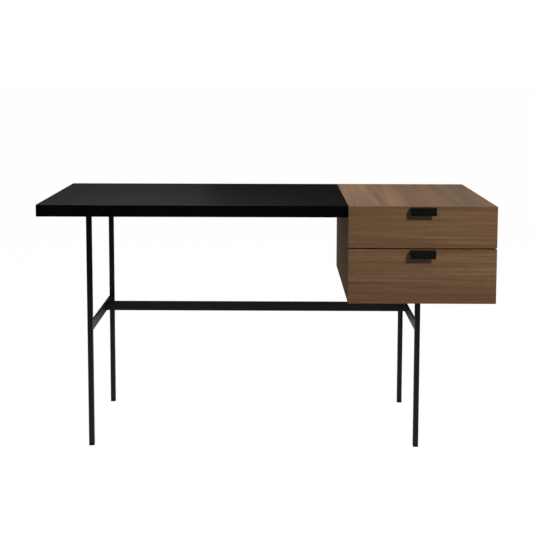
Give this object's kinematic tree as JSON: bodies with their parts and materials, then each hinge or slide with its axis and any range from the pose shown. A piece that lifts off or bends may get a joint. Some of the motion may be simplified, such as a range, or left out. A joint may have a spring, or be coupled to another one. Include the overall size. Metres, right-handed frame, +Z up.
{
  "type": "writing desk",
  "caption": "Writing desk: a thin black slab top beside a walnut drawer box with black folded tab handles, on slim square black steel legs tied by low flat bars.",
  "frame": {"origin": "on the floor, under the middle of the desk's bounding box (handles included)", "axes": "+Z up, +X to the right of the person sitting at the desk (towards the drawer box), -Y towards that person"},
  "size_m": [1.3, 0.622, 0.72],
  "materials": {
    "black_laminate": "soft satin black laminate on board",
    "black_steel": "satin black powder coat",
    "walnut": "satin walnut veneer, straight fine grain",
    "drawer_wood": "clear-lacquered drawer boards",
    "slide_steel": "zinc-plated rolled steel",
    "glide_plastic": "moulded black plastic",
    "screw_steel": "black zinc"
  },
  "bodies": {
    "desk": {"angle_box_screw_front": "screw_steel", "angle_box_screw_rear": "screw_steel", "angle_slab_screw_front": "screw_steel", "angle_slab_screw_rear": "screw_steel", "box_back": "walnut", "box_bottom": "walnut", "box_left_side": "walnut", "box_right_side": "walnut", "box_top": "walnut", "desktop_slab": "black_laminate", "joining_angle": "black_steel", "left_front_glide": "glide_plastic", "left_front_leg": "black_steel", "left_rear_glide": "glide_plastic", "left_rear_leg": "black_steel", "left_side_brace": "black_steel", "left_top_bar": "black_steel", "left_top_bar_screw_front": "screw_steel", "left_top_bar_screw_middle": "screw_steel", "left_top_bar_screw_rear": "screw_steel", "long_rail": "black_steel", "lower_drawer_left_slide_outer": "slide_steel", "lower_drawer_right_slide_outer": "slide_steel", "right_front_glide": "glide_plastic", "right_front_leg": "black_steel", "right_rear_glide": "glide_plastic", "right_rear_leg": "black_steel", "right_side_brace": "black_steel", "right_top_bar": "black_steel", "right_top_bar_screw_front": "screw_steel", "right_top_bar_screw_middle": "screw_steel", "right_top_bar_screw_rear": "screw_steel", "upper_drawer_left_slide_outer": "slide_steel", "upper_drawer_right_slide_outer": "slide_steel"},
    "upper_drawer": {"upper_drawer_back": "drawer_wood", "upper_drawer_bottom": "drawer_wood", "upper_drawer_front": "walnut", "upper_drawer_handle": "black_steel", "upper_drawer_handle_screw_left": "screw_steel", "upper_drawer_handle_screw_right": "screw_steel", "upper_drawer_left_side": "drawer_wood", "upper_drawer_left_slide_inner": "slide_steel", "upper_drawer_right_side": "drawer_wood", "upper_drawer_right_slide_inner": "slide_steel"},
    "upper_slide_middles": {"upper_drawer_left_slide_middle": "slide_steel", "upper_drawer_right_slide_middle": "slide_steel"},
    "lower_drawer": {"lower_drawer_back": "drawer_wood", "lower_drawer_bottom": "drawer_wood", "lower_drawer_front": "walnut", "lower_drawer_handle": "black_steel", "lower_drawer_handle_screw_left": "screw_steel", "lower_drawer_handle_screw_right": "screw_steel", "lower_drawer_left_side": "drawer_wood", "lower_drawer_left_slide_inner": "slide_steel", "lower_drawer_right_side": "drawer_wood", "lower_drawer_right_slide_inner": "slide_steel"},
    "lower_slide_middles": {"lower_drawer_left_slide_middle": "slide_steel", "lower_drawer_right_slide_middle": "slide_steel"}
  },
  "joints": [
    {"name": "upper_drawer_slide", "type": "slide", "parent": "desk", "child": "upper_drawer", "axis": [0, -1, 0], "range_m": [0, 0.5]},
    {"name": "upper_middles_slide", "type": "slide", "parent": "desk", "child": "upper_slide_middles", "axis": [0, -1, 0], "range_m": [0, 0.25]},
    {"name": "lower_drawer_slide", "type": "slide", "parent": "desk", "child": "lower_drawer", "axis": [0, -1, 0], "range_m": [0, 0.5]},
    {"name": "lower_middles_slide", "type": "slide", "parent": "desk", "child": "lower_slide_middles", "axis": [0, -1, 0], "range_m": [0, 0.25]}
  ],
  "couplings": [
    {"joint": "upper_middles_slide", "follows": "upper_drawer_slide", "ratio": 0.5},
    {"joint": "lower_middles_slide", "follows": "lower_drawer_slide", "ratio": 0.5}
  ]
}
